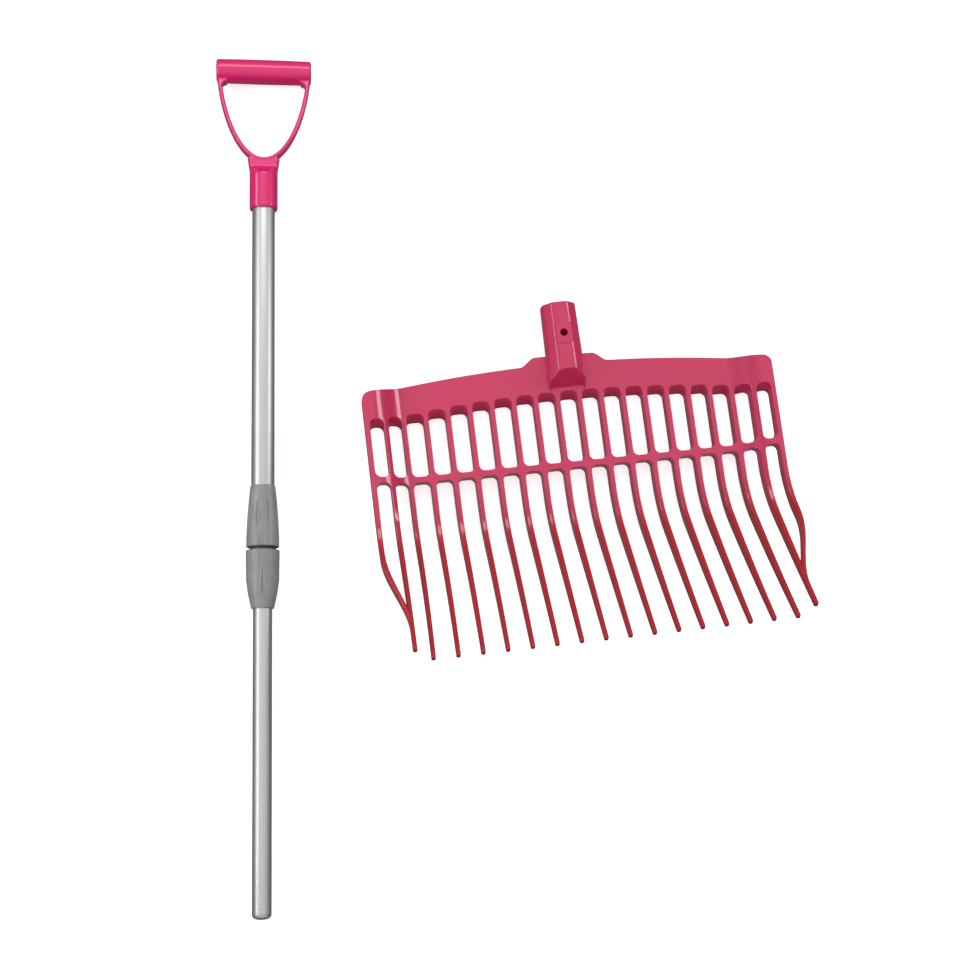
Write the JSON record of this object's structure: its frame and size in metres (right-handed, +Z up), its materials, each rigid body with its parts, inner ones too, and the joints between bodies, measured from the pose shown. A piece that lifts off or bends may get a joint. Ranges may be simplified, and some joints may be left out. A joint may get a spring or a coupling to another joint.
{
  "type": "manure fork",
  "caption": "Manure fork taken apart: a telescopic pole with a D-shaped hand grip and twist lock, and a wide plastic basket head with curved tines lying beside it.",
  "frame": {"origin": "on the floor, under the middle of the whole object's box", "axes": "+Z up from the floor that both pieces lie on, +Y towards the grip and the head's socket, +X from the pole to the head, across the head"},
  "size_m": [0.6364, 0.946, 0.1224],
  "materials": {
    "grip_plastic": "satin moulded pink plastic",
    "head_plastic": "glossy moulded crimson plastic",
    "tube_aluminium": "satin drawn tube",
    "collar_plastic": "matt moulded grey plastic",
    "collet_plastic": "matt moulded dark plastic",
    "bush_plastic": "matt moulded white plastic",
    "rivet_steel": "plain steel"
  },
  "bodies": {
    "handle": {"grip": "grip_plastic", "grip_rivet": "rivet_steel", "upper_tube": "tube_aluminium", "upper_sleeve": "collar_plastic", "collet": "collet_plastic"},
    "lower_pole": {"lower_tube": "tube_aluminium", "guide_bush": "bush_plastic", "end_plug": "tube_aluminium"},
    "nut_carriage": {"clamp_ring": "bush_plastic"},
    "nut": {"lock_nut": "collar_plastic"},
    "head": {"fork_head": "head_plastic"}
  },
  "joints": [
    {"name": "telescope", "type": "slide", "parent": "handle", "child": "lower_pole", "axis": [0.1028, 0.9947, -0.0047], "range_m": [-0.085, 0.26]},
    {"name": "nut_advance", "type": "slide", "parent": "handle", "child": "nut_carriage", "axis": [0.1028, 0.9947, -0.0047], "range_m": [-0.0015, 0]},
    {"name": "nut_turn", "type": "hinge", "parent": "nut_carriage", "child": "nut", "pos_m": [-0.26859, -0.08546, 0.01808], "axis": [0.1028, 0.9947, -0.0047], "range_deg": [-180, 0]},
    {"name": "head_lift", "type": "slide", "parent": "handle", "child": "head", "axis": [0, 0, 1], "range_m": [0, 0.15]}
  ],
  "couplings": [
    {"joint": "nut_advance", "follows": "nut_turn", "m_per_rad": 0.00047746}
  ]
}
